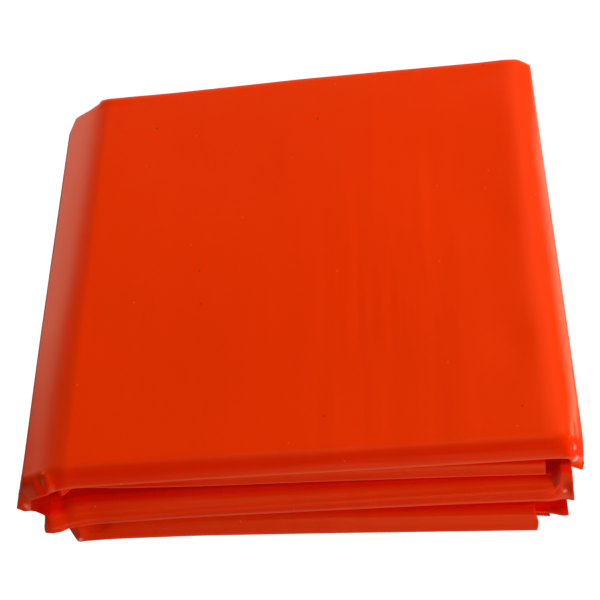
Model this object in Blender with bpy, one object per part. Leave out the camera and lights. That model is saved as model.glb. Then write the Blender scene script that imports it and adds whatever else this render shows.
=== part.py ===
"""Emergency sleeping bag of orange film, folded into a flat, nearly square pack.

The film tube is folded across its width and then back and forth along its length.  This script
models that second folding as one closed solid: eight panels in a zigzag, a little apart, joined
by four folds at the front and three at the back.  Metres, +Z up, front towards -Y.
"""
import math
from collections import namedtuple

import bmesh
import bpy

MM = 0.001

# The pack as a whole, in millimetres
PACK_HEIGHT = 37.0
HALF_DEPTH = 112.0          # from the pack's middle to the front and back fold lines
END_THINNING = 0.55         # how much of a panel's thickness is left at a free end
END_TAPER = 5.0             # length of that thinning
INNER_BULGE = 0.45          # the bulge of a fold's inner face, as a share of its outer face's

# Fold rows, from the floor up.  low and high: the fold's two heights where its panels meet it.
# gap: the air between its two panels.  bulge: how round the fold is, 0 at a free end.
# left and right: the fold's two ends.  reach: how far it comes out from the pack's middle, at a
# few places from left to right (x, reach).
Fold = namedtuple("Fold", "name low high gap bulge left right reach")
FRONT_FOLDS = (
    Fold("bottom lip", 0.0, 9.0, 1.2, 6.0, -98.0, 108.0,
         ((-98, 118.0), (-60, 117.8), (0, 120.2), (92, 125.0), (96.5, 118.0), (108, 119.8))),
    Fold("big lip", 10.2, 20.4, 1.5, 6.5, -108.0, 109.0,
         ((-108, 119.0), (-92, 115.6), (0, 116.0), (92, 117.4), (109, 118.5))),
    Fold("inner lip", 21.5, 27.2, 0.8, 3.5, -100.0, 98.0,
         ((-100, 107.0), (0, 108.6), (98, 111.0))),
    Fold("top lip", 28.3, 37.0, 1.2, 6.0, -116.0, 113.5,
         ((-116, 115.0), (-101, 110.4), (-88, 109.0), (90, 109.4), (104, 110.6), (113.5, 112.6))),
)
BACK_FOLDS = (
    Fold("bottom end", 0.0, 3.6, 0.0, 0.0, -104.0, 107.0, ((0, 108.0),)),
    Fold("lower back fold", 4.8, 13.1, 1.1, 5.0, -108.0, 110.0, ((-108, 108.5), (110, 111.0))),
    Fold("middle back fold", 14.3, 22.6, 1.1, 5.0, -109.0, 108.0, ((-109, 111.0), (108, 109.5))),
    Fold("upper back fold", 23.8, 32.1, 1.1, 5.0, -111.0, 110.5, ((-111, 110.0), (110.5, 111.5))),
    Fold("top end", 33.3, 37.0, 0.0, 0.0, -115.5, 113.5, ((-115, 114.2), (100, 114.4), (108, 115.2))),
)

# Where the pack sinks from its full height.  from_x to edge_x: the stretch; drop: how far.
Shoulder = namedtuple("Shoulder", "from_x edge_x drop")
SHOULDERS = (Shoulder(-95.0, -116.0, 10.0), Shoulder(101.0, 113.5, 9.0))

# Soft hollows and swellings of the top.  x, y: the middle; radius; rise: negative for a hollow.
Dent = namedtuple("Dent", "x y radius rise")
DENTS = (
    Dent(70, 45, 34, -1.0),
    Dent(-40, 60, 45, -0.6),
    Dent(-62, -52, 36, -0.7),
    Dent(25, -70, 40, -0.6),
)

# The pack's back corners are drawn in.  side: -1 left or 1 right; start_y: where it starts.
Corner = namedtuple("Corner", "side start_y end_y draw_in")
CORNERS = (Corner(-1, 91.0, 114.2, 11.5), Corner(1, 109.0, 115.2, 4.0))

# How finely the solid is cut
ALONG = (0, .04, .15, .35, .6, .78, .86, .91, .945, .97, .987, 1)
FOLD_STEPS = 8
ACROSS = (0, .012, .03, .055, .085, .13, .22, .35, .5, .65, .78, .86, .9, .925, .945, .965, .985, 1)

FILM_COLOUR = (0.78, 0.035, 0.002, 1.0)
FILM_ROUGHNESS = 0.32


def ease(value):
    """A smooth step from 0 to 1."""
    value = min(1.0, max(0.0, value))
    return value * value * (3.0 - 2.0 * value)


def along(points, x):
    """The reach at x, between the given places."""
    for (x0, y0), (x1, y1) in zip(points, points[1:]):
        if x <= x1:
            return y0 + (y1 - y0) * ease((x - x0) / (x1 - x0))
    return points[-1][1]


def stack_height(x, y):
    """The pack's height at a place, as a share of its full height."""
    height = PACK_HEIGHT
    for shoulder in SHOULDERS:
        share = (x - shoulder.from_x) / (shoulder.edge_x - shoulder.from_x)
        height -= shoulder.drop * min(1.0, max(0.0, share)) ** 2
    for dent in DENTS:
        distance = math.hypot(x - dent.x, y - dent.y) / dent.radius
        height += dent.rise * math.exp(-distance * distance)
    return height / PACK_HEIGHT


def panel_faces(fold, upper):
    """The low and high face of a fold's upper or lower panel, in millimetres."""
    if not fold.gap:
        return fold.low, fold.high
    thickness = (fold.high - fold.low - fold.gap) / 2
    if upper:
        return fold.high - thickness, fold.high
    return fold.low, fold.low + thickness


def panel_heights(index, y):
    """The low and high face of a panel at y: front heights at the front, back heights behind."""
    front = panel_faces(FRONT_FOLDS[index // 2], index % 2 == 1)
    back = panel_faces(BACK_FOLDS[(index + 1) // 2], index % 2 == 0 and index > 0)
    share = ease((y + HALF_DEPTH) / (2 * HALF_DEPTH))
    return [f + (b - f) * share for f, b in zip(front, back)]


def draw_in(x, y):
    """Pull a point of the back corners towards the pack's middle."""
    for corner in CORNERS:
        if x * corner.side > 0:
            share = max(0.0, (y - corner.start_y) / (corner.end_y - corner.start_y))
            x -= corner.side * corner.draw_in * min(1.0, share) ** 2 * (abs(x) / HALF_DEPTH) ** 3
    return x


def fold_line(fold, across):
    """A fold's x and reach at a share of its width."""
    x = fold.left + (fold.right - fold.left) * across
    return x, along(fold.reach, x)


def place(x, y, height):
    """A point of the film in metres, sunk where the pack is lower."""
    return (draw_in(x, y) * MM, y * MM, height * stack_height(x, y) * MM)


def panel_rows(index, across):
    """Pairs of points, one on each face, along one panel."""
    front, back = FRONT_FOLDS[index // 2], BACK_FOLDS[(index + 1) // 2]
    front_x, front_y = fold_line(front, across)
    back_x, back_y = fold_line(back, across)
    front_y = front.bulge - front_y
    back_y = back_y - back.bulge
    rows = []
    for share in ALONG if index % 2 else ALONG[::-1]:
        x = front_x + (back_x - front_x) * share
        y = front_y + (back_y - front_y) * share
        low, high = panel_heights(index, y)
        if not back.bulge:
            thinned = (1.0 - END_THINNING) * max(0.0, 1.0 - (back_y - y) / END_TAPER)
            high -= thinned * (high - low)
        pair = (place(x, y, low), place(x, y, high))
        rows.append(pair if index % 2 == 0 else pair[::-1])
    return rows


def fold_rows(fold, lower, across, forward):
    """Pairs of points round one fold, from its lower panel to its upper one."""
    x, reach = fold_line(fold, across)
    start = reach - fold.bulge
    rows = []
    for step in range(1, FOLD_STEPS):
        angle = math.pi * step / FOLD_STEPS
        climb = (1.0 - math.cos(angle)) / 2
        pair = []
        for bulge, faces in ((fold.bulge, (0, 1)), (fold.bulge * INNER_BULGE, (1, 0))):
            y = start + bulge * math.sin(angle)
            y = -y if forward else y
            low = panel_heights(lower, y)[faces[0]]
            high = panel_heights(lower + 1, y)[faces[1]]
            pair.append(place(x, y, low + (high - low) * climb))
        rows.append(tuple(pair) if forward else tuple(pair[::-1]))
    return rows


def zigzag(across):
    """The whole back-and-forth section at one place across the pack."""
    rows = panel_rows(0, across)
    for index in range(1, 2 * len(FRONT_FOLDS)):
        if index % 2:
            rows += fold_rows(FRONT_FOLDS[index // 2], index - 1, across, True)
        else:
            rows += fold_rows(BACK_FOLDS[index // 2], index - 1, across, False)
        rows += panel_rows(index, across)
    return rows


def folded_film():
    """The pack as one closed mesh: both faces of the zigzag, its side edges and its two ends."""
    mesh = bmesh.new()
    sections = []
    for across in ACROSS:
        sections.append([[mesh.verts.new(point) for point in pair] for pair in zigzag(across)])
    for here, there in zip(sections, sections[1:]):
        for row in range(len(here) - 1):
            for face in (0, 1):
                mesh.faces.new((here[row][face], here[row + 1][face],
                                there[row + 1][face], there[row][face]))
        for row in (0, -1):
            mesh.faces.new((here[row][0], here[row][1], there[row][1], there[row][0]))
    for section in (sections[0], sections[-1]):
        for row in range(len(section) - 1):
            mesh.faces.new((section[row][0], section[row + 1][0],
                            section[row + 1][1], section[row][1]))
    bmesh.ops.recalc_face_normals(mesh, faces=mesh.faces)
    return mesh


def centre_on_floor(mesh):
    """Put the middle of the pack's box over the origin, with the underside on the floor."""
    for axis in (0, 1):
        values = [vert.co[axis] for vert in mesh.verts]
        middle = (min(values) + max(values)) / 2
        for vert in mesh.verts:
            vert.co[axis] -= middle


def film_material():
    """The bag's orange polythene film."""
    material = bpy.data.materials.new("orange_film")
    material.use_nodes = True
    shader = material.node_tree.nodes["Principled BSDF"]
    shader.inputs["Base Color"].default_value = FILM_COLOUR
    shader.inputs["Roughness"].default_value = FILM_ROUGHNESS
    shader.inputs["Metallic"].default_value = 0.0
    material.diffuse_color = FILM_COLOUR
    return material


def build_bag():
    """The folded bag as one object."""
    mesh = folded_film()
    centre_on_floor(mesh)
    data = bpy.data.meshes.new("bag")
    mesh.to_mesh(data)
    mesh.free()
    data.materials.append(film_material())
    bag = bpy.data.objects.new("bag", data)
    bpy.context.scene.collection.objects.link(bag)
    return bag


for old in list(bpy.data.objects):
    bpy.data.objects.remove(old, do_unlink=True)
build_bag()
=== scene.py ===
# %% [markdown]
# # An emergency sleeping bag, folded into a pack
# The real bag is one tube of heavy orange polythene film, sealed at one end.  It is folded across
# its width first, and then back and forth along its length, into a flat and nearly square pack.
# This notebook makes the film as one thin sheet on the folds of the plain solid, gives it a glossy
# finish, and lights it like a small object in a studio.

# %% Load the frame
import math
from collections import namedtuple

import bmesh
import bpy
from mathutils import Matrix, Vector


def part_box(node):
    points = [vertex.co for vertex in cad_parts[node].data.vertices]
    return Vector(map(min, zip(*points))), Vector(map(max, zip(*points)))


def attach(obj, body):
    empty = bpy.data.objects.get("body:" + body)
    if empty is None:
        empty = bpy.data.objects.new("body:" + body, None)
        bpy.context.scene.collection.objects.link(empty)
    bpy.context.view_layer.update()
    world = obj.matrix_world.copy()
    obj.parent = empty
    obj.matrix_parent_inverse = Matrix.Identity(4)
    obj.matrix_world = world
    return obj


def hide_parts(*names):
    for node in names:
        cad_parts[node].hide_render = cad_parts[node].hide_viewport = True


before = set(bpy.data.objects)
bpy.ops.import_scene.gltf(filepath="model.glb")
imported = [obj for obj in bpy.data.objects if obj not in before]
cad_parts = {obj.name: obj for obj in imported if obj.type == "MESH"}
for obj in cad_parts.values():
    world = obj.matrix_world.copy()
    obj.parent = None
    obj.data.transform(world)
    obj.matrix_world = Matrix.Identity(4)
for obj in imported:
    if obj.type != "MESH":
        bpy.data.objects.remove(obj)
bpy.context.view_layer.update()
bag_low, bag_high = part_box("bag")


def shown(values):
    """Metres, rounded for printing."""
    return [round(value, 4) for value in values]


print("bag solid, low and high corners:", shown(bag_low), shown(bag_high))

# %% [markdown]
# The tables that shape the film are in millimetres, and one factor turns them into metres.  The
# folds are measured from the middle of the pack.  The lips at the front reach further than the
# folds at the back, so that middle lies a little behind the middle of the solid's box.

# %% Sizes and the pack's middle
MM = 0.001
LAID_WIDTH = 0.90           # the bag laid flat, in metres
FILM_THICKNESS = 0.30       # two plies of the tube and a little air
FLOOR_GAP = 0.17            # the lowest layer's middle above the floor
BEHIND_BOX_MIDDLE = 4.9
RIGHT_OF_BOX_MIDDLE = 1.25

box_middle = (Vector(bag_low) + Vector(bag_high)) / 2
pack_middle = Vector((box_middle.x + RIGHT_OF_BOX_MIDDLE * MM,
                      box_middle.y + BEHIND_BOX_MIDDLE * MM, bag_low[2]))
pack_height = (bag_high[2] - bag_low[2]) / MM
print("pack height", round(pack_height, 2), "mm, middle", shown(pack_middle))

# %% [markdown]
# Eight panels make the stack, and each fold joins two of them.  At the front the four folds are
# the lips that show: each one rolls over a soft shoulder and comes down to a crisp crease near its
# lower edge.  Blender's cloth simulation could fold a sheet like this, but it would round the
# creases and leave their places to chance.  So each fold is one row of a table, and a formula makes
# the rest of its curve.

# %% The lips
# low, high: the heights between which the fold turns.  gap: air between its two panels.
# crease: the height of the crisp edge, as a share.  depth, lean, back: how far the shoulder is
# rounded, how far the face leans, and how far the film runs back under the crease.
# square: over 2 for a squarer shoulder.  tucks: how far each layer stops short of the outer one.
# left, left_in: the two creases at the left.  right, right_in: where the two outer layers turn.
# edge_low, edge_deep: the tube's two side edges, at the right.  slants: how far the left and right
# ends shift from the crease up to the shoulder.  full_from: where the lip gets its full shoulder;
# left of that it slopes straighter down to its crease.  ridge: the height of a soft ridge along
# the face at the left and right end, as a share, and how far it stands out.  reach: (x, distance
# of the crease from the pack's middle) at a few places.
Lip = namedtuple("Lip", "name low high gap crease depth lean back square tucks left left_in "
                        "right right_in edge_low edge_deep slants full_from ridge reach")
LIPS = (
    Lip("bottom lip", 0.0, 9.0, 1.2, 0.12, 4.6, 4.4, 4.0, 2.5, (0.0, 1.2, 5.6, 6.4),
        -96.8, -93.2, 93.0, 92.2, 99.0, 106.4, (-9.6, -0.4), -70.0, (0.60, 0.75, 0.30),
        ((-106, 110.8), (-102, 113.2), (-96.3, 116.7), (-93, 116.4), (-80, 116.3),
         (-45, 117.2), (10, 119.8), (60, 122.4), (93, 124.1), (100, 124.6), (107, 125.2))),
    Lip("big lip", 10.2, 20.4, 1.5, 0.17, 4.9, 4.1, 4.0, 2.6, (0.0, 1.4, 2.6, 3.6),
        -107.8, -104.0, 108.4, 107.2, 105.0, 106.5, (1.8, -0.6), -56.0, (0.20, 0.52, 0.60),
        ((-108.2, 117.0), (-104.8, 117.7), (-101.5, 117.3), (-98.5, 116.0), (-88, 114.7),
         (-43, 114.5), (11, 115.2), (60, 116.0), (93, 116.9), (108.8, 118.1))),
    Lip("inner lip", 21.5, 27.2, 0.8, 0.12, 2.2, 1.9, 3.0, 2.4, (0.0, 0.9, 1.8, 2.6),
        -100.2, -97.5, 97.6, 96.8, 96.0, 97.0, (0.0, 0.0), -80.0, (0.50, 0.50, 0.0),
        ((-100.4, 105.8), (-99.0, 106.4), (-96.0, 103.2), (-88, 103.4), (-74, 104.6),
         (-41, 106.2), (12, 107.7), (60, 109.4), (98, 111.0))),
    Lip("top lip", 28.3, 37.0, 1.2, 0.18, 5.2, 4.1, 4.0, 2.7, (0.0, 1.4, 2.6, 3.6),
        -116.6, -113.6, 113.0, 112.0, 110.6, 111.4, (1.4, 0.4), -116.0, (0.50, 0.50, 0.0),
        ((-117.4, 107.5), (-114.4, 108.6), (-109.2, 109.9), (-103.8, 109.6), (-100.2, 108.2),
         (-89, 107.6), (-40, 107.5), (60, 108.3), (106.6, 108.6), (110, 107.9), (113.4, 105.8))),
)
PANELS = 2 * len(LIPS)
BIG_LIP, TOP_LIP, COVER = 1, len(LIPS) - 1, PANELS - 1
print(PANELS, "panels and", len(LIPS), "lips, from", LIPS[0].name, "to", LIPS[TOP_LIP].name)

# %% [markdown]
# Nothing presses the folds at the back, so they are round.  The free ends of the film, at the
# bottom and on top, are rows of the same table with no bulge.

# %% The folds at the back
# bulge: how round the fold is, 0 at a free end.  The other columns are those of the lips.
BackFold = namedtuple("BackFold", "name low high gap bulge tucks left left_in right right_in "
                                  "edge_low edge_deep reach")
BACK_FOLDS = (
    BackFold("bottom end", 0.0, 3.6, 0.0, 0.0, (0.0, 0.6, 0.3, 1.0),
             -104.0, -101.0, 107.0, 106.2, 105.0, 106.0, ((-104, 98.0), (-97, 108.0), (107, 108.0))),
    BackFold("lower back fold", 4.8, 13.1, 1.1, 5.0, (2.5, 1.7, 0.9, 0.0),
             -108.0, -105.0, 110.0, 109.0, 107.0, 108.5,
             ((-108, 98.0), (-99, 108.5), (104, 111.0), (110, 108.0))),
    BackFold("middle back fold", 14.3, 22.6, 1.1, 5.0, (2.5, 1.7, 0.9, 0.0),
             -109.0, -106.0, 108.0, 107.2, 105.5, 107.0,
             ((-109, 99.0), (-98, 111.0), (102, 110.0), (108, 107.5))),
    BackFold("upper back fold", 23.8, 32.1, 1.1, 5.0, (2.5, 1.7, 0.9, 0.0),
             -111.0, -108.0, 110.5, 109.4, 107.0, 109.0,
             ((-111, 99.0), (-101, 110.0), (104, 111.5), (110.5, 109.0))),
    BackFold("top end", 33.3, 37.0, 0.0, 0.0, (0.0, 0.8, 1.5, 2.2),
             -115.9, -112.8, 113.1, 112.0, 110.5, 111.4,
             ((-116.4, 97.0), (-113.2, 106.8), (-105.5, 107.8), (-100.3, 110.2), (-99.6, 112.2),
              (-64, 112.1), (1, 113.3), (89, 112.9), (107.4, 113.6), (113, 111.2))),
)
print(len(BACK_FOLDS) - 2, "folds at the back, and two free ends")

# %% [markdown]
# The pack isn't a block.  Its top cover rolls down at the left and right, and soft hollows lie
# where hands pressed the air out.  Each of these is a small rule that moves every layer at that
# place by a share of its height, so the layers never cross.

# %% The pack's soft shape
# from_x, edge_x: where a shoulder starts and ends.  drops and powers: (y, value) from front to
# back: how far it rolls down, and how softly it starts.
Shoulder = namedtuple("Shoulder", "from_x edge_x drops powers")
SHOULDERS = (
    Shoulder(-94.5, -116.0, ((0, 7.6),), ((0, 1.6),)),
    Shoulder(95.5, 113.5, ((-108, 7.4), (-80, 6.0), (50, 5.6), (112, 3.2)),
             ((-104, 4.4), (-84, 3.0), (-60, 2.8))),
)
PAST_SHOULDER = 1.05        # the film may hang a little past a shoulder's end
Dent = namedtuple("Dent", "x y radius rise")
DENTS = (Dent(70, 45, 34, -1.0), Dent(-40, 60, 45, -0.6), Dent(-62, -52, 36, -0.7),
         Dent(25, -70, 40, -0.6), Dent(87, 12, 12, -0.35), Dent(90, -56, 10, -0.6),
         Dent(-88, -30, 14, -0.3), Dent(-60, 78, 16, -0.25))


def ease(value, start=0.0, end=1.0):
    """A smooth step: 0 up to start, 1 from end on."""
    share = min(1.0, max(0.0, (value - start) / (end - start)))
    return share * share * (3.0 - 2.0 * share)


def mix(start, end, share):
    """A value part of the way from start to end."""
    return start + (end - start) * share


def along(points, x):
    """The value at x, on straight lines between the given places."""
    if x <= points[0][0]:
        return points[0][1]
    for (x0, y0), (x1, y1) in zip(points, points[1:]):
        if x <= x1:
            return mix(y0, y1, (x - x0) / (x1 - x0))
    return points[-1][1]


def height_share(x, y):
    """The pack's height at a place, as a share of its full height."""
    height = pack_height
    for shoulder in SHOULDERS:
        share = (x - shoulder.from_x) / (shoulder.edge_x - shoulder.from_x)
        share = min(PAST_SHOULDER, max(0.0, share))
        height -= along(shoulder.drops, y) * share ** along(shoulder.powers, y)
    for dent in DENTS:
        distance = math.hypot(x - dent.x, y - dent.y) / dent.radius
        height += dent.rise * math.exp(-distance * distance)
    return height / pack_height


print("height of the left edge:", round(height_share(-116, 0) * pack_height, 2), "mm")

# %% [markdown]
# Across its width the tube is folded in half and in half again.  That gives four layers in every
# panel.  Walking along the film from one side edge of the tube to the other, the layers come in
# the order 4, 1, 2, 3 from the outside in, with creases at the left, the right and the left again.
# A column of the mesh is one step of that walk: which layer it is, where it lies across the pack,
# and how deep it lies in the panel (0 is the face that shows on the lips, 1 is the far face).

# %% The columns: a walk across the width of the film
# left, right: the table's columns for the two ends of a layer.  across: the share of the way
# between them.  bow: a shift to the side, in a crease.  flat: the quarters of the width walked.
Column = namedtuple("Column", "left right across bow layer depth flat")
CREASE_STEPS = 5
CREASE_BOW = 0.6            # how far a crease stands out past the layers it joins
LAYERS = 4


def spread(fine, coarse, fine_length):
    """Shares from 0 to 1, close together near both ends."""
    ends = [fine_length * step / fine for step in range(fine)]
    middle = [fine_length + (1 - 2 * fine_length) * step / coarse for step in range(coarse + 1)]
    return ends + middle + [1 - share for share in reversed(ends)]


def layer_columns(left, right, layer, leftwards, shares, quarter):
    """Columns across one layer, in the direction of the walk."""
    walk = [1 - share for share in shares] if leftwards else shares
    depth = layer / (LAYERS - 1)
    return [Column(left, right, share, 0.0, layer, depth, quarter + abs(share - walk[0]))
            for share in walk]


def crease_columns(starts, ends, across, layers, quarter):
    """Columns round one crease, from one layer's end to the next layer's."""
    columns = []
    for step in range(1, CREASE_STEPS):
        angle = math.pi * step / CREASE_STEPS
        share = (1 - math.cos(angle)) / 2
        layer = mix(*layers, share)
        bow = CREASE_BOW * math.sin(angle) * (1 if across else -1)
        edge = (starts, ends, share)
        columns.append(Column(edge, edge, across, bow, layer, layer / (LAYERS - 1), quarter))
    return columns


cover_shares = spread(38, 22, 0.11)
inner_shares = spread(11, 6, 0.09)
columns = (
    layer_columns("left", "edge_deep", 3, True, inner_shares, 0)
    + crease_columns("left", "left", 0.0, (3, 0), 1)
    + layer_columns("left", "right", 0, False, cover_shares, 1)
    + crease_columns("right", "right_in", 1.0, (0, 1), 2)
    + layer_columns("left_in", "right_in", 1, True, inner_shares, 2)
    + crease_columns("left_in", "left_in", 0.0, (1, 2), 3)
    + layer_columns("left_in", "edge_low", 2, False, inner_shares, 3)
)
middle_column = next(column for column in columns if not column.layer and column.across >= 0.5)
print(len(columns), "columns across the film")

# %% [markdown]
# A row of the mesh is one step along the length of the tube: through a panel, round a lip, back
# through the next panel, round a fold at the back, and so on up the stack.  The rows are close
# together where the film bends.  The cover shows most, so it has more rows than the panels inside.

# %% The rows: a walk along the length of the film
# index: which panel, lip or fold.  share: how far through it.  run: how much film lies before it.
Row = namedtuple("Row", "kind index share run")
LIP_STEPS = 26
BACK_STEPS = 8
PANEL_RUN, LIP_RUN, BACK_RUN = 211.5, 16.0, 12.0      # how much film each takes
PANEL_SHARES = (0, 0.012, 0.04, 0.10, 0.22, 0.45, 0.70, 0.88, 0.97, 1)
COVER_SHARES = ([0.005 * step for step in range(12)]
                + [0.06 + 0.90 * step / 32 for step in range(32)]
                + [0.96 + 0.01 * step for step in range(5)])


def rows_of_film():
    """All rows, from the free end at the bottom to the free end on top."""
    rows = []
    run = 0.0
    for panel in range(PANELS):
        shares = COVER_SHARES if panel == COVER else PANEL_SHARES
        upper = panel % 2 == 1
        for share in shares if upper else reversed(shares):
            walked = share if upper else 1 - share
            rows.append(Row("panel", panel, share, run + PANEL_RUN * walked))
        if panel == COVER:
            break
        run += PANEL_RUN
        kind, steps, length = ("back", BACK_STEPS, BACK_RUN) if upper else ("lip", LIP_STEPS, LIP_RUN)
        for step in range(1, steps):
            rows.append(Row(kind, (panel + 1) // 2, step / steps, run + length * step / steps))
        run += length
    return rows


rows = rows_of_film()
print(len(rows), "rows along the film,", len(rows) * len(columns), "points")

# %% [markdown]
# Some places were shaped by hand on the real pack: the ends of the lips are pushed in or pulled
# forward where the folds meet.  A sculpting brush could do this by hand.  Here each stroke is a row
# of a table, which moves the film of one lip near one place by a soft bump.

# %% Places pressed by hand on the lips
# x, height: the middle of the place.  wide, tall: its size.  edge: 2 is soft, more is crisper.
# right, forward, lift: how the film moves.  layers: the layers it moves, from the outside.
Touch = namedtuple("Touch", "lip x height wide tall edge right forward lift layers")
TOUCHES = (
    Touch(0, -88.6, 1.00, 5.6, 0.42, 3, 0.0, -4.2, 0.0, (0, 1)),
    Touch(0, 94.0, 0.45, 3.0, 0.25, 2, 1.0, 0.0, 0.0, (0, 0)),
    Touch(0, 97.0, 0.46, 6.0, 0.09, 2, 0.0, -1.6, 0.0, (2, 3)),
    Touch(0, 104.3, 0.50, 3.2, 0.90, 1, 0.0, 2.2, 0.0, (2, 3)),
    Touch(BIG_LIP, 105.2, 0.44, 4.4, 0.30, 2.2, 0.0, -2.6, 0.0, (0, 3)),
    Touch(BIG_LIP, -102.0, 0.95, 5.0, 0.34, 2.2, 0.0, -2.2, 0.0, (0, 3)),
)


def touched(lip_index, x, height, layer):
    """How far right, forward and up the film of a lip is moved at a place."""
    moved = Vector()
    for touch in TOUCHES:
        if touch.lip == lip_index:
            distance = math.hypot((x - touch.x) / touch.wide, (height - touch.height) / touch.tall)
            outside = max(touch.layers[0] - layer, layer - touch.layers[1], 0)
            strength = math.exp(-distance ** touch.edge) * max(0, 1 - outside)
            moved += Vector((touch.right, -touch.forward, touch.lift)) * strength
    return moved


print(len(TOUCHES), "pressed places")

# %% [markdown]
# At both ends of the top lip the film under the crease is pulled out and shows as a small tongue.
# A tongue is a line, and the film under the crease is drawn towards it.

# %% The tongues under the top lip
# from_x, to_x: where it starts and where it is full.  line: (x, distance from the pack's middle,
# height, hollow) of its lower edge; hollow: how far the film first dips back under the crease.
Tongue = namedtuple("Tongue", "lip from_x to_x line")
TONGUES = (
    Tongue(TOP_LIP, -101.0, -104.0,
           ((-117.5, 112.1, 24.0, 0.0), (-113.6, 114.0, 24.0, 0.0), (-110.1, 113.8, 24.0, 1.5),
            (-107.6, 114.6, 23.4, 9.0), (-105.3, 115.6, 22.6, 15.0), (-102.0, 115.6, 21.0, 15.0))),
    Tongue(TOP_LIP, 106.2, 108.4,
           ((107.0, 109.0, 26.0, 0.0), (108.4, 109.0, 23.4, 0.0), (112.4, 110.1, 22.0, 0.0),
            (114.2, 105.0, 24.6, 0.0))),
)


def pulled_out(lip_index, point, share):
    """A point under a crease, moved towards the lower edge of a tongue.  share: 1 at that edge."""
    for tongue in TONGUES:
        if tongue.lip == lip_index:
            strength = ease(point.x, tongue.from_x, tongue.to_x)
            reach, height, hollow = [along([(step[0], step[item]) for step in tongue.line], point.x)
                                     for item in (1, 2, 3)]
            edge = Vector((point.x, -reach, height / height_share(point.x, -reach)))
            point = point.lerp(edge, strength * share)
            point.y += hollow * strength * math.sin(math.pi * share)
    return point


print(len(TONGUES), "tongues")

# %% [markdown]
# Where a lip is short at one end, the panel below it swells up into the room it leaves, and the
# cover droops a little towards the front in the same way.  Pleats are short folds in the cover,
# most of them near its corners: each is a line with a straight slope on both sides.

# %% Swellings and pleats
Swell = namedtuple("Swell", "panel from_x to_x from_reach to_reach rise")
SWELLS = (
    Swell(3, 100.6, 104.0, 94.0, 104.0, 5.6),
    Swell(3, -99.5, -106.0, 96.0, 106.0, 3.0),
    Swell(COVER, -200.0, -199.0, 30.0, 102.0, -1.6),
)
SWELL_INSIDE = 0.2          # how much of a swelling is left at a panel's far face
Pleat = namedtuple("Pleat", "start end wide rise")
PLEATS = (
    Pleat((-106.6, -104.6), (-103.6, -110.0), 2.4, -0.8),
    Pleat((-104.2, -103.6), (-101.4, -109.4), 2.2, 0.6),
    Pleat((110.3, -95.0), (109.9, -103.0), 1.1, -0.5),
    Pleat((109.9, -103.0), (111.2, -107.0), 1.1, -0.5),
    Pleat((-99.6, 109.6), (-83.0, 111.0), 1.4, 0.5),
    Pleat((70.0, 25.0), (90.0, 21.0), 6.0, -0.30),
    Pleat((62.0, 94.0), (97.0, 107.0), 7.0, -0.25),
)


def away_from(line, point):
    """How far a point lies from the line between a row's start and end."""
    start, end = Vector(line.start), Vector(line.end)
    share = (point - start).dot(end - start) / (end - start).length_squared
    return (point - start.lerp(end, min(1.0, max(0.0, share)))).length


def pleated(x, y):
    """How far the pleats lift the cover at a place."""
    return sum(pleat.rise * max(0.0, 1.0 - away_from(pleat, Vector((x, y))) / pleat.wide)
               for pleat in PLEATS)


def swell(panel, x, y, depth):
    """How far a panel swells upwards at a place."""
    rise = 0.0
    for part in SWELLS:
        if part.panel == panel:
            across = ease(x, part.from_x, part.to_x)
            forward = ease(-y, part.from_reach, part.to_reach)
            rise += part.rise * across * forward * mix(1, SWELL_INSIDE, depth)
    if panel == COVER:
        rise += pleated(x, y) * max(0, 1 - (LAYERS - 1) * depth)
    return rise


print("the cover droops", round(-swell(COVER, 0, -110, 0), 2), "mm at its front edge")

# %% [markdown]
# Now the tables become points.  A panel isn't as thick at the front as at the back, so the heights
# of its layers are mixed from the two folds it joins.  Each layer also stops a little short of the
# one outside it, so they show one behind the other at the ends of a lip.

# %% The place of a layer
HALF_DEPTH = 112.0          # from the pack's middle to where the folds start


def face_height(panel, x, y, depth):
    """The height of a layer of a panel at y, before the pack's soft shape."""
    lip, back = LIPS[panel // 2], BACK_FOLDS[(panel + 1) // 2]
    upper = panel % 2 == 1
    faces = []
    for fold, high_panel in ((lip, upper), (back, not upper)):
        thickness = (fold.high - fold.low - fold.gap) / (2 if fold.gap else 1)
        bottom = fold.high - thickness if fold.gap and high_panel else fold.low
        near, far = (bottom + thickness, bottom) if upper else (bottom, bottom + thickness)
        faces.append(mix(near, far, depth))
    return mix(*faces, ease(y, -HALF_DEPTH, HALF_DEPTH)) + swell(panel, x, y, depth)


def place(x, y, height):
    """A point of the film in metres, in the frame."""
    height *= height_share(x, y)
    return pack_middle + Vector((x, y, height + FLOOR_GAP)) * MM


def fold_end(fold, name, climb, side):
    """Where one end of a layer lies at a fold; a crease lies between two named ends."""
    if isinstance(name, tuple):
        end = mix(getattr(fold, name[0]), getattr(fold, name[1]), name[2])
    else:
        end = getattr(fold, name)
    return end + (fold.slants[side] * climb if isinstance(fold, Lip) else 0.0)


def across_x(fold, column, climb=0.0):
    """Where a column lies across the pack at one fold."""
    left = fold_end(fold, column.left, climb, 0)
    right = fold_end(fold, column.right, climb, 1)
    return mix(left, right, column.across) + column.bow


def tuck(fold, layer):
    """How far a layer stops short, also between two layers in a crease."""
    first = min(LAYERS - 2, int(layer))
    return mix(fold.tucks[first], fold.tucks[first + 1], layer - first)


print("the cover's top at the middle:", round(face_height(COVER, 0, 0, 0), 2), "mm")

# %% [markdown]
# A panel runs straight from its lip to its back fold.  The lip's line is given at a few places and
# is rounded between them, but only a little near the ends, where the folds are crisp.

# %% Points of a panel
ROUNDED_SPAN = (0.7, 5.0)   # how far the rounding reaches: near the ends, and at the middle
ENDS_FROM, MIDDLE_TO = 92, 67        # from where the first span holds, and up to where the second


def smooth_along(points, x):
    """The value at x, with the corners of the line rounded."""
    span = mix(*ROUNDED_SPAN, ease(abs(x), ENDS_FROM, MIDDLE_TO))
    return sum(along(points, x + step * span) for step in (-1, -0.5, 0, 0.5, 1)) / 5


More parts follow.
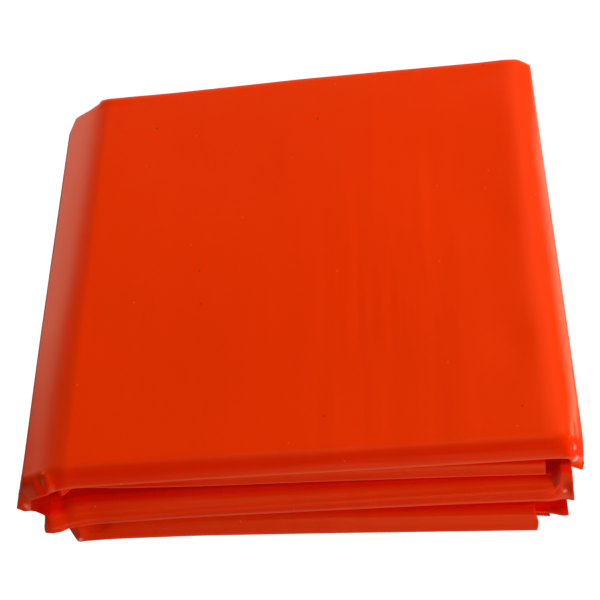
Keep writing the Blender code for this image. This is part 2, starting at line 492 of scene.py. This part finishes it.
def panel_point(row, column):
    """A point of a panel."""
    lip, back = LIPS[row.index // 2], BACK_FOLDS[(row.index + 1) // 2]
    upper = row.index % 2
    front_x, back_x = across_x(lip, column, upper), across_x(back, column)
    front = smooth_along(lip.reach, front_x) - tuck(lip, column.layer)
    front -= lip.lean + lip.depth if upper else lip.back
    behind = along(back.reach, back_x) - back.bulge - tuck(back, column.layer)
    x = mix(front_x, back_x, row.share)
    y = mix(-front, behind, row.share)
    return place(x, y, face_height(row.index, x, y, column.depth))


print("the cover's front edge at the middle:",
      shown(panel_point(Row("panel", COVER, 0, 0), middle_column)))

# %% [markdown]
# Under a lip's crease the film runs back in a quarter of an ellipse.  Above it the film climbs the
# face, which leans back, and rolls over the shoulder along a superellipse: a curve between an
# ellipse (power 1) and a square corner (power 0).

# %% Points of a lip
CREASE_CLIMB = 0.28         # the share of a lip's rows that lie under its crease
CLIMB_POWER = 1.45          # over 1 puts more of the rows close above the crease
ENDS_SQUARE = 1.5           # how square a lip's shoulder is at its left end
RIDGE_SPREAD = 0.14         # how broad a lip's ridge is, as a share of its height
TONGUE_PULL = 1.16          # over 1 pulls the rows behind a tongue's edge right up to it


def lip_climb(row):
    """How far a row has gone from a lip's crease to its shoulder, 0 at and under the crease."""
    return max(0.0, (row.share - CREASE_CLIMB) / (1 - CREASE_CLIMB)) ** CLIMB_POWER


def under_crease(row):
    """How far a row has gone back from a lip's crease, 0 at and above the crease."""
    return max(0.0, 1 - row.share / CREASE_CLIMB)


def lip_point(row, column):
    """A point of a lip: under the crease, or up its face and over its shoulder."""
    lip, way, under = LIPS[row.index], lip_climb(row), under_crease(row)
    x = across_x(lip, column)
    if not way:
        behind_tip = lip.back * (1 - math.cos(math.pi / 2 * under))
        height = lip.crease * (1 - math.sin(math.pi / 2 * under))
    else:
        full = ease(x, lip.left, lip.full_from)
        power = 2 / mix(ENDS_SQUARE, lip.square, full)
        climb = math.sin(math.pi / 2 * way) ** power
        round_back = 1 - math.cos(math.pi / 2 * way) ** power if way < 1 else 1.0
        ridge_at = mix(lip.ridge[0], lip.ridge[1], (x - lip.left) / (lip.right - lip.left))
        ridge = lip.ridge[2] * math.exp(-((climb - ridge_at) / RIDGE_SPREAD) ** 2)
        behind_tip = lip.lean * climb + lip.depth * round_back - ridge
        height = mix(lip.crease, 1.0, climb)
        x = across_x(lip, column, (climb + way) / 2)
    y = behind_tip + tuck(lip, column.layer) - smooth_along(lip.reach, x)
    low = face_height(2 * row.index, x, y, column.depth)
    high = face_height(2 * row.index + 1, x, y, column.depth)
    point = Vector((x, y, mix(low, high, height))) + touched(row.index, x, height, column.layer)
    return place(*pulled_out(row.index, point, min(1.0, TONGUE_PULL * under)))


crease_row = Row("lip", BIG_LIP, CREASE_CLIMB, 0)
print("the big lip's crease at the middle:", shown(lip_point(crease_row, middle_column)))

# %% [markdown]
# A fold at the back is half an ellipse.

# %% Points of a fold at the back
def back_point(row, column):
    """A point of a fold at the back."""
    fold = BACK_FOLDS[row.index]
    x = across_x(fold, column)
    angle = math.pi * row.share
    y = along(fold.reach, x) - tuck(fold, column.layer) - fold.bulge * (1 - math.sin(angle))
    low = face_height(2 * row.index - 1, x, y, column.depth)
    high = face_height(2 * row.index, x, y, column.depth)
    return place(x, y, mix(low, high, (1 - math.cos(angle)) / 2))


POINT_OF = {"panel": panel_point, "lip": lip_point, "back": back_point}
print("a back fold at the middle:", shown(back_point(Row("back", 2, 0.5, 0), middle_column)))

# %% [markdown]
# The finish needs to know a few things about each point: how deep it lies between the folds, where
# shade is painted into the colour, redder and darker; how close it is to a crease or the free edge,
# where a pale highlight is painted; whether it lies on a lip; and whether it lies on one of a few
# corner streaks, where a glint is painted nearly white.  Each becomes an attribute, a number on the
# mesh's points that a material can read.  They could be painted by hand, but a rule keeps them right
# when a fold is moved.

# %% How deep a point lies between the folds, which sets the painted shade
# These depths are painted shade: the colour gets redder and darker under overhangs, in creases, in the
# pocket and between the layers.
CREASE_SHADE = 0.4          # the depth of a crease, from 0 in the open air to 1 deep inside
FACE_SHADE = 0.24           # the depth of a lip's face
COVERED_SHADE = 0.85        # the depth of a face that the lip above hangs over
INNER_SHADE = 0.75          # the depth of the layers behind a lip's outer one
POCKET_SHADE = 0.95         # the depth of the pocket at the big lip's left end


def under_shade(row, x):
    """The painted shade under a lip's crease.  The top lip's tongues, at its ends, lie in the open."""
    covered = ease(x, -110.5, -107.5) * ease(x, 107.5, 106.0) if row.index == TOP_LIP else 1.0
    return covered * mix(CREASE_SHADE, 1.0, ease(under_crease(row)))


def face_shade(row, column, x):
    """The painted shade on a lip's face: it grows where the film goes in under the panel above."""
    way = lip_climb(row)
    if row.index == TOP_LIP:
        return CREASE_SHADE * ease(way, 1.2, 0.2)
    overhang = along(LIPS[row.index + 1].reach, x) - along(LIPS[row.index].reach, x)
    hidden = COVERED_SHADE * ease(overhang, 0.0, 3.0)
    inner = INNER_SHADE * min(1.0, column.layer)
    shoulder = 0.7 * ease(way, 0.3958, 0.8125) + 0.3 * ease(way, 0.9, 1.0)
    face = FACE_SHADE + 0.1 * ease(way, 1 / 3, 0.0)
    pocket = POCKET_SHADE * ease(x, -96.5, -100.5) * ease(way, 0.38, 0.60)
    return max(hidden, inner, shoulder, face, pocket if row.index == BIG_LIP else 0.0)


def painted_fold_shade(row, column):
    """The painted shade: 0 where the film faces the open air, 1 deep between the folds."""
    if row.kind == "panel":
        return 0.0 if row.index == COVER and column.layer < 1 else 1.0
    if row.kind == "back":
        return ease(abs(row.share - 0.5), 0.25, 0.5)
    x = across_x(LIPS[row.index], column)
    return face_shade(row, column, x) if lip_climb(row) else under_shade(row, x)


print("depth of the big lip's crease:", round(painted_fold_shade(crease_row, middle_column), 2))

# %% [markdown]
# The painted highlights and glints are narrow, so their rules are bell curves.

# %% Where a highlight or a glint is painted pale
HIGHLIGHT_ABOVE, HIGHLIGHT_UNDER = 0.08, 0.35     # how far a crease's pale line spreads, as shares
HIGHLIGHT_CLIMB_POWER = 0.77                 # a lip's usual shoulder
HIGHLIGHT_FREE_EDGE = 0.005                  # how far the free edge's pale line spreads
# start, end: the two ends of a painted glint streak, from the pack's middle on the floor
GlintStreak = namedtuple("GlintStreak", "start end radius")
PAINTED_GLINTS = (
    GlintStreak((-113.65, -111.2, 24.7), (-112.25, -112.1, 24.7), 0.36),
    GlintStreak((-96.65, -115.7, 1.2), (-95.55, -116.3, 2.2), 0.6),
    GlintStreak((109.35, -108.0, 26.6), (110.75, -107.7, 27.6), 0.75),
    GlintStreak((110.15, -105.3, 30.4), (109.85, -103.5, 32.4), 0.36),
    GlintStreak((103.95, -114.7, 15.7), (106.35, -114.9, 14.4), 0.28),
)


def painted_crease_highlight(row):
    """Painted highlight: 1 along a lip's crease and the pack's free edge."""
    if row.kind == "lip":
        climb = math.sin(math.pi / 2 * lip_climb(row)) ** HIGHLIGHT_CLIMB_POWER
        return math.exp(-(climb / HIGHLIGHT_ABOVE) ** 2 - (under_crease(row) / HIGHLIGHT_UNDER) ** 2)
    if row.kind == "panel" and row.index == COVER:
        return math.exp(-((1 - row.share) / HIGHLIGHT_FREE_EDGE) ** 2)
    return 0.0


def painted_glint(point):
    """Painted glint: 1 on a streak at a corner.  point: from the pack's middle."""
    return max(math.exp(-(away_from(tip, point) / tip.radius) ** 2) for tip in PAINTED_GLINTS)


# The painted glints on a few corners
print(len(PAINTED_GLINTS), "worn corners")

# %% [markdown]
# Every row is joined to the next by quads.  A UV map in metres lays the sheet flat again, so that
# marks made by the film's machine run along its length however it is folded.

# %% Build the sheet
ATTRIBUTES = ("painted_fold_shade", "painted_crease_highlight", "drawn_lip", "painted_glint")


def film_mesh():
    """The folded film as one sheet, with its flat map and its attributes."""
    mesh = bmesh.new()
    flat_map = mesh.loops.layers.uv.new("flat")
    known = [mesh.verts.layers.float.new(name) for name in ATTRIBUTES]
    grid = []
    for row in rows:
        grid.append([mesh.verts.new(POINT_OF[row.kind](row, column)) for column in columns])
        for vert, column in zip(grid[-1], columns):
            values = (painted_fold_shade(row, column), painted_crease_highlight(row), float(row.kind == "lip"),
                      painted_glint((vert.co - pack_middle) / MM))
            for layer, value in zip(known, values):
                vert[layer] = value
    for row_index in range(len(rows) - 1):
        for column_index in range(len(columns) - 1):
            corners = ((0, 0), (0, 1), (1, 1), (1, 0))
            face = mesh.faces.new([grid[row_index + r][column_index + c] for r, c in corners])
            face.smooth = True
            for loop, (r, c) in zip(face.loops, corners):
                across = columns[column_index + c].flat / LAYERS
                loop[flat_map].uv = (across * LAID_WIDTH, rows[row_index + r].run * MM)
    data = bpy.data.meshes.new("film_bag")
    mesh.to_mesh(data)
    mesh.free()
    return data


bpy.ops.object.select_all(action="DESELECT")
film = bpy.data.objects.new("film_bag", film_mesh())
bpy.context.scene.collection.objects.link(film)
bpy.context.view_layer.objects.active = film
film.select_set(True)
print("sheet:", len(film.data.vertices), "points,", len(film.data.polygons), "quads")

# %% [markdown]
# The Solidify modifier gives the sheet the film's own thickness, half to each side, and closes its
# edges.  Faces that meet at more than a small angle stay crisp when the rest is shaded smooth, so
# the cut edges don't look swollen.

# %% Thickness and smooth shading
CRISP_ANGLE = 33            # in degrees

solidify = film.modifiers.new("thickness", "SOLIDIFY")
solidify.thickness = FILM_THICKNESS * MM
solidify.offset = 0.0
bpy.ops.object.modifier_apply(modifier=solidify.name)
bpy.ops.object.mode_set(mode="EDIT")
bpy.ops.mesh.select_all(action="SELECT")
bpy.ops.mesh.normals_make_consistent(inside=False)
bpy.ops.object.mode_set(mode="OBJECT")
bpy.ops.object.shade_smooth_by_angle(angle=math.radians(CRISP_ANGLE))
triangles = sum(len(face.vertices) - 2 for face in film.data.polygons)
print("film:", triangles, "triangles, size", shown(film.dimensions))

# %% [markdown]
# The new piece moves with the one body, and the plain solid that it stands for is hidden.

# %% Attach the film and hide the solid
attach(film, "root")
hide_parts("bag")

# %% [markdown]
# Film like this shows small things once it has been folded by hand: long soft ripples, thin
# creases where the corners were pressed, fine lines drawn by the machine that made it, and a few
# specks and scratches.  Each effect is a node group, a small recipe with named inputs and outputs,
# so the material stays short.  Some helpers come first: they start a group, add a node and feed its
# inputs, and make the nodes that are used most.

# %% Helpers for node groups
def start_group(name, inputs, outputs):
    """A new shader node group with its named sockets, and its input and output nodes."""
    group = bpy.data.node_groups.new(name, "ShaderNodeTree")
    for socket, kind in inputs:
        group.interface.new_socket(name=socket, in_out="INPUT", socket_type="NodeSocket" + kind)
    for socket in outputs:
        group.interface.new_socket(name=socket, in_out="OUTPUT", socket_type="NodeSocketFloat")
    return group, group.nodes.new("NodeGroupInput"), group.nodes.new("NodeGroupOutput")


def add_node(tree, kind, feeds, **settings):
    """Add a node.  feeds: for each input, a number or the socket that drives it."""
    node = tree.nodes.new("ShaderNode" + kind)
    for setting, value in settings.items():
        setattr(node, setting, value)
    for socket, value in feeds.items():
        if isinstance(value, bpy.types.NodeSocket):
            tree.links.new(value, node.inputs[socket])
        else:
            node.inputs[socket].default_value = value
    return node


def calculate(tree, operation, first, second=0.0, third=0.0):
    """The result of one sum."""
    node = add_node(tree, "Math", {0: first, 1: second, 2: third}, operation=operation)
    return node.outputs[0]


def between(tree, value, low, high, to_low=0.0, to_high=1.0):
    """A value's place between low and high, as a smooth step."""
    feeds = {"Value": value, "From Min": low, "From Max": high, "To Min": to_low, "To Max": to_high}
    node = add_node(tree, "MapRange", feeds, interpolation_type="SMOOTHSTEP")
    return node.outputs["Result"]


def stretched_noise(tree, vector, scale, place=(0, 0, 0), turn=0.0, detail=2.0, **settings):
    """Noise whose spots are stretched.  scale: how many spots to the metre, each way."""
    mapping = add_node(tree, "Mapping", {"Vector": vector, "Location": place,
                                         "Rotation": (0, 0, math.radians(turn)), "Scale": scale})
    noise = add_node(tree, "TexNoise", {"Vector": mapping.outputs[0], "Scale": 1.0,
                                        "Detail": detail, "Roughness": 0.5}, **settings)
    return noise.outputs[0]


# %% [markdown]
# The film's ripples are heights in millimetres.  Long ripples run from front to back where the
# layers below press through, thin ones cross them, and slanting ones lie over both shoulders, where
# the cover is pulled down.  Noise that is stretched one way makes all of them, and a broad,
# slow noise decides where they show.

# %% Ripples and wrinkles
SHOULDER_RIPPLES = (0.088, 0.106)       # metres from the middle, where slanting ripples fade in


def film_ripples():
    """Heights of the film's soft ripples, in millimetres."""
    group, given, result = start_group(
        "film_ripples", (("Vector", "Vector"), ("Long", "Float"), ("Cross", "Float"),
                         ("Slanting", "Float"), ("Grain", "Float")), ("Height",))
    vector = given.outputs["Vector"]
    across = add_node(group, "SeparateXYZ", {0: vector}).outputs["X"]
    where = stretched_noise(group, vector, (16, 12, 16), (1.3, 0.4, 0))
    # Long ripples are strongest a little right of the middle
    long = stretched_noise(group, vector, (88, 9, 30), (0.2, 0, 0), 4)
    for share in (between(group, across, -0.02, 0.015, 0.25), between(group, across, 0.09, 0.05, 0.35),
                  between(group, where, 0.30, 0.60, 0.25)):
        long = calculate(group, "MULTIPLY", long, share)
    # Crossing ripples show where the long ones are weak, and slanting ones over the shoulders
    cross = stretched_noise(group, vector, (20, 150, 30), (0, 3, 0), -7)
    cross = calculate(group, "MULTIPLY", cross, between(group, where, 0.58, 0.40))
    slanting = stretched_noise(group, vector, (70, 16, 30), (0.7, 0, 0), 52,
                               noise_type="RIDGED_MULTIFRACTAL")
    over_side = between(group, calculate(group, "ABSOLUTE", across), *SHOULDER_RIPPLES)
    slanting = calculate(group, "MULTIPLY", slanting, over_side)
    grain = stretched_noise(group, vector, (900, 900, 900), detail=3.0)
    height = 0.0
    for name, ripple in (("Long", long), ("Cross", cross), ("Slanting", slanting), ("Grain", grain)):
        height = calculate(group, "MULTIPLY_ADD", ripple, given.outputs[name], height)
    group.links.new(height, result.inputs["Height"])
    return group


RIPPLES = film_ripples()
print(RIPPLES.name, len(RIPPLES.nodes), "nodes")

# %% [markdown]
# A Voronoi texture scatters specks: it drops one point into each cell and gives the cell a random
# colour.  A mark shows close to the point of the few cells whose colour is low enough.  It works on
# the flat map, because in three dimensions most points would miss a thin sheet.  The same group
# makes scratches when its vector is turned and stretched.

# %% Scattered marks
def scattered_marks():
    """Small marks, 1 in their middle.  Share: how many of the cells hold one."""
    group, given, result = start_group(
        "scattered_marks", (("Flat", "Vector"), ("Cells per Metre", "Float"),
                            ("Share", "Float"), ("Radius", "Float")), ("Mark",))
    cells = add_node(group, "TexVoronoi", {"Vector": given.outputs["Flat"],
                                           "Scale": given.outputs["Cells per Metre"]},
                     voronoi_dimensions="2D")
    lot = add_node(group, "SeparateXYZ", {0: cells.outputs["Color"]}).outputs["X"]
    chosen = calculate(group, "LESS_THAN", lot, given.outputs["Share"])
    grown = calculate(group, "MULTIPLY", given.outputs["Radius"], given.outputs["Cells per Metre"])
    inside = between(group, cells.outputs["Distance"], grown, 0.0)
    group.links.new(calculate(group, "MULTIPLY", chosen, inside), result.inputs["Mark"])
    return group


MARKS = scattered_marks()
print(MARKS.name, len(MARKS.nodes), "nodes")

# %% [markdown]
# Lines drawn in the film follow its flat map, so they run along the bag's length in every panel.
# On the lips other lines show: the film is stretched there, and pale streaks run beside the crease.

# %% Drawn lines
def drawn_lines():
    """Lines: fine ones along the film.  Streaks: soft ones beside the creases, on the lips."""
    group, given, result = start_group(
        "drawn_lines", (("Flat", "Vector"), ("Vector", "Vector"), ("Lip", "Float")),
        ("Lines", "Streaks"))
    fine = stretched_noise(group, given.outputs["Flat"], (1500, 16, 1), detail=1.0)
    broad = stretched_noise(group, given.outputs["Flat"], (240, 5, 1))
    lines = calculate(group, "MULTIPLY_ADD", broad, 0.6, fine)
    lines = calculate(group, "SUBTRACT", lines, 0.8)            # both noises' mean
    streaks = stretched_noise(group, given.outputs["Vector"], (11, 60, 520), (0, 0, 7))
    streaks = calculate(group, "SUBTRACT", between(group, streaks, 0.36, 0.66), 0.5)
    streaks = calculate(group, "MULTIPLY", streaks, given.outputs["Lip"])
    group.links.new(lines, result.inputs["Lines"])
    group.links.new(streaks, result.inputs["Streaks"])
    return group


LINES = drawn_lines()
print(LINES.name, len(LINES.nodes), "nodes")

# %% [markdown]
# Now the film itself.  Its orange is deep and saturated.  Between the folds shade is painted into it,
# redder and darker, for light that only arrives there after passing through film.  Along the creases
# and the free edge a pale highlight is painted, and a few corners get a painted glint.  A colour ramp
# turns the depth between the folds into the shaded colours, and mix nodes lay the highlight, the
# glints, the lines and the marks over them.

# %% The film's colours
# The open colour is the film's own.  The inside and deep colours are painted shade between the folds,
# the crease colour is a painted highlight, and the near-white one after it is a painted glint.
OPEN_COLOUR = (0.92, 0.036, 0.0, 1)
INSIDE_SHADE_COLOUR = (0.90, 0.005, 0.0, 1)
DEEP_SHADE_COLOUR = (0.55, 0.003, 0.0, 1)
INSIDE_SHADE_FROM = 0.7           # the depth at which the film has the inside colour
CREASE_HIGHLIGHT_COLOUR = (0.92, 0.13, 0.045, 1)
GLINT_COLOUR = (0.95, 0.60, 0.48, 1)
SPECK_COLOUR = (0.95, 0.22, 0.10, 1)
DOT_COLOUR = (0.30, 0.012, 0.0, 1)


def blend(tree, share, first, second):
    """Two colours mixed by a share."""
    node = add_node(tree, "Mix", {"Factor": share, 6: first, 7: second}, data_type="RGBA")
    return node.outputs[2]


def use_group(tree, which, feeds):
    """Place a node group.  Returns its outputs."""
    return add_node(tree, "Group", feeds, node_tree=which).outputs


def film_marks(tree, flat):
    """Pale specks, dark dots and scratches on the flat map."""
    moved = add_node(tree, "Mapping", {"Vector": flat, "Location": (0.31, 0.17, 0)})
    turned = add_node(tree, "Mapping", {"Vector": flat, "Rotation": (0, 0, 1.1),
                                        "Scale": (1, 0.14, 1)})
    kinds = ((flat, 45, 0.14, 0.0006), (moved.outputs[0], 38, 0.07, 0.0009),
             (turned.outputs[0], 60, 0.10, 0.0004))
    return [use_group(tree, MARKS, {"Flat": where, "Cells per Metre": cells, "Share": share,
                                    "Radius": radius})["Mark"]
            for where, cells, share, radius in kinds]


def film_colour(tree, flat, lines, depth, crease, glint):
    """The film's colour, with painted shade, highlights and glints, from what its points know and from
    its lines and marks.
    """
    specks, dots, scratches = film_marks(tree, flat)
    # Painted shade: the colour gets redder and darker with the depth between the folds
    ramp = add_node(tree, "ValToRGB", {"Fac": depth})
    steps = ramp.color_ramp.elements
    steps[0].color = OPEN_COLOUR
    steps[1].color = DEEP_SHADE_COLOUR
    steps.new(INSIDE_SHADE_FROM).color = INSIDE_SHADE_COLOUR
    # The painted highlight along the creases and the free edge, with the lines, streaks and scratches,
    # makes the colour paler
    paler = calculate(tree, "MULTIPLY", crease, 0.55)
    paler = calculate(tree, "MULTIPLY_ADD", lines["Lines"], 0.07, paler)
    paler = calculate(tree, "MULTIPLY_ADD", lines["Streaks"], 0.08, paler)
    paler = calculate(tree, "MULTIPLY_ADD", scratches, 0.25, paler)
    colour = blend(tree, paler, ramp.outputs["Color"], CREASE_HIGHLIGHT_COLOUR)
    # Pale specks and dark dots, and the painted glints on a few corners
    for mark, strength, mark_colour in ((specks, 0.5, SPECK_COLOUR), (dots, 0.6, DOT_COLOUR),
                                        (glint, 0.8, GLINT_COLOUR)):
        colour = blend(tree, calculate(tree, "MULTIPLY", mark, strength), colour, mark_colour)
    return colour


print("open film has", round(OPEN_COLOUR[0] / OPEN_COLOUR[1]), "times more red than green")

# %% [markdown]
# Gloss is the Principled shader's own reflection.  A roughness of about a quarter gives soft bright
# bands, and it varies a little where hands have touched the film.  Film lets some light through,
# so deep between the folds it glows a dark red.  Light through many thin layers takes very long to
# render, so a weak emission that grows with the depth stands in for it.

# %% The film's material
THROUGH_COLOUR = (0.95, 0.010, 0.0, 1)
THROUGH_FROM = 0.6          # the depth from which light comes through the layers
THROUGH_STRENGTH = 0.10
ROUGHNESS = (0.225, 0.26)   # from the smoothest places to the most handled ones


def film_material():
    """Glossy orange polythene."""
    material = bpy.data.materials.new("orange_polythene")
    material.use_nodes = True
    tree = material.node_tree
    shader = tree.nodes["Principled BSDF"]
    shader.inputs["IOR"].default_value = 1.5
    shader.inputs["Specular Tint"].default_value = (1.0, 0.8, 0.26, 1)
    shader.inputs["Emission Strength"].default_value = THROUGH_STRENGTH
    vector = add_node(tree, "TexCoord", {}).outputs["Object"]
    flat = add_node(tree, "UVMap", {}, uv_map="flat").outputs["UV"]
    # The attributes: painted shade by depth, painted crease highlight, lip, and painted glints
    depth, crease, lip, glint = [add_node(tree, "Attribute", {}, attribute_name=name).outputs["Fac"]
                                for name in ATTRIBUTES]
    lines = use_group(tree, LINES, {"Flat": flat, "Vector": vector, "Lip": lip})
    colour = film_colour(tree, flat, lines, depth, crease, glint)
    tree.links.new(colour, shader.inputs["Base Color"])
    # Heights: one bump node, whose distance makes them millimetres
    ripples = use_group(tree, RIPPLES, {"Vector": vector, "Long": 0.50, "Cross": 0.10,
                                        "Slanting": 0.30, "Grain": 0.035})
    height = calculate(tree, "MULTIPLY_ADD", lines["Streaks"], 0.05, ripples["Height"])
    bump = add_node(tree, "Bump", {"Height": height, "Distance": MM, "Strength": 1.0})
    tree.links.new(bump.outputs[0], shader.inputs["Normal"])
    # Light that has come through the layers around a deep fold
    through = add_node(tree, "ValToRGB", {"Fac": depth})
    steps = through.color_ramp.elements
    steps[0].position, steps[0].color = THROUGH_FROM, (0, 0, 0, 1)
    steps[1].color = THROUGH_COLOUR
    tree.links.new(through.outputs["Color"], shader.inputs["Emission Color"])
    handled = stretched_noise(tree, vector, (60, 60, 60), detail=4.0)
    gloss = between(tree, handled, 0.3, 0.7, *ROUGHNESS)
    tree.links.new(gloss, shader.inputs["Roughness"])
    print("film material:", len(tree.nodes), "nodes")
    return material


film.data.materials.append(film_material())

# %% [markdown]
# The studio is a pale floor in a pale room.  Both look white to the camera, like paper that is lit
# on its own, while the film sees only a plain grey floor and the lamps.  A Light Path node makes
# that difference: it tells whether a ray comes from the camera.

# %% The floor and the room
FLOOR_SIZE = 1.6            # metres
FLOOR_GREY = 0.34           # what the film sees of the floor
PAPER_WHITE = 1.05          # what the camera sees: just past white


def white_to_camera(tree, seen_kind, lit, output):
    """Show the camera a plain white, and everything else the lit shader."""
    seen = add_node(tree, seen_kind, {"Strength": PAPER_WHITE})
    path = add_node(tree, "LightPath", {})
    mixer = add_node(tree, "MixShader", {0: path.outputs["Is Camera Ray"], 1: lit.outputs[0],
                                         2: seen.outputs[0]})
    tree.links.new(mixer.outputs[0], output.inputs["Surface"])


def floor():
    """A pale floor, which isn't part of the bag."""
    bpy.ops.object.select_all(action="DESELECT")
    bpy.ops.mesh.primitive_plane_add(size=FLOOR_SIZE, location=(0, 0, bag_low[2]))
    plane = bpy.context.object
    plane.name = "studio_floor"
    material = bpy.data.materials.new("white_floor")
    material.use_nodes = True
    nodes = material.node_tree.nodes
    shader = nodes["Principled BSDF"]
    shader.inputs["Base Color"].default_value = (FLOOR_GREY, FLOOR_GREY, FLOOR_GREY, 1)
    shader.inputs["Roughness"].default_value = 0.7
    white_to_camera(material.node_tree, "Emission", shader, nodes["Material Output"])
    material.cycles.emission_sampling = "NONE"      # its white isn't a lamp
    plane.data.materials.append(material)
    return plane


def room():
    """A dark world that looks white to the camera."""
    world = bpy.data.worlds.new("studio")
    bpy.context.scene.world = world
    world.use_nodes = True
    nodes = world.node_tree.nodes
    dark = nodes["Background"]
    dark.inputs["Strength"].default_value = 0.0
    white_to_camera(world.node_tree, "Background", dark, nodes["World Output"])
    return world


print("floor and room:", floor().name, room().name)

# %% [markdown]
# Film shows a lamp in two ways: as light on its colour, and as a bright band where it mirrors the
# lamp.  Here each lamp does one of the two: it gives the orange its brightness, or it is only
# mirrored, in the shoulders and along the lips.  All are wider than the pack, so that their edges
# are soft.

# %% The lamps
# at and size are in metres, power in watts.  lights: it lights surfaces.  mirrored: film shows it.
Lamp = namedtuple("Lamp", "name at size power lights mirrored")
LAMPS = (
    Lamp("key", (0.6, 0.75, 1.0), (0.7, 0.7), 5.7, True, False),
    Lamp("overhead", (0.1, 0.1, 2.0), (1.0, 1.0), 7.1, True, False),
    Lamp("back", (0, 1.8, 0.8), (1.5, 0.8), 24, True, False),
    Lamp("front", (0, -1.85, 0.5), (0.9, 0.9), 7.4, True, False),
    Lamp("right_back", (1.6, 0.5, 0.26), (0.9, 0.4), 12.5, True, False),
    Lamp("right_front", (1.5, -0.7, 0.4), (0.9, 0.6), 18, True, False),
    Lamp("left_wall", (-1.15, 1.14, 0.42), (1.0, 0.7), 3.2, False, True),
    Lamp("left_low", (-1.5, -0.1, 0.05), (0.9, 0.1), 0.6, True, False),
    Lamp("left_card", (-1.35, -0.7, 0.2), (1.0, 0.4), 0.8, False, True),
    Lamp("right_wall", (1.5, 1.2, 0.14), (1.4, 0.30), 5.0, False, True),
    Lamp("right_wall_top", (1.5, 1.2, 0.48), (1.4, 0.36), 2.2, False, True),
    Lamp("low_right", (0.75, -0.5, 0.16), (0.5, 0.3), 0.5, True, False),
    Lamp("back_glow", (-0.2, 1.6, 0.5), (1.4, 0.5), 0.5, False, True),
)
AIM = Vector((0, 0, 0.02))  # about the middle of the solid


def add_lamp(row):
    """A soft lamp that faces the pack."""
    light = bpy.data.lights.new(row.name, "AREA")
    light.shape = "RECTANGLE"
    light.size, light.size_y = row.size
    light.energy = row.power
    lamp = bpy.data.objects.new(row.name, light)
    lamp.location = row.at
    lamp.rotation_euler = (AIM - Vector(row.at)).to_track_quat("-Z", "Y").to_euler()
    lamp.visible_diffuse = row.lights
    lamp.visible_glossy = row.mirrored
    bpy.context.scene.collection.objects.link(lamp)


for row in LAMPS:
    add_lamp(row)
print(len(LAMPS), "lamps, of which only mirrored:", sum(not row.lights for row in LAMPS))

# %% [markdown]
# The camera looks down at the lips from the front, a little turned and tilted.

# %% The camera
CAMERA_AT = (66.25, -396.1, 511.0)              # in millimetres, in the frame
LOOK_DOWN, TURN, TILT = 51.2, 9.6, -12.0        # in degrees
LENS, SENSOR = 84.3, 36

eye = bpy.data.cameras.new("camera")
eye.sensor_width = SENSOR
eye.lens = LENS
eye.clip_start = 0.01
camera = bpy.data.objects.new("camera", eye)
turn = Matrix.Rotation(math.radians(TURN), 4, "Z")
down = Matrix.Rotation(math.radians(90 - LOOK_DOWN), 4, "X")
tilt = Matrix.Rotation(math.radians(TILT), 4, "Z")
camera.matrix_world = Matrix.Translation(Vector(CAMERA_AT) * MM) @ turn @ down @ tilt
bpy.context.scene.collection.objects.link(camera)
bpy.context.scene.camera = camera
print("camera at", shown(camera.location))
bpy.context.scene.view_settings.view_transform = "Standard"
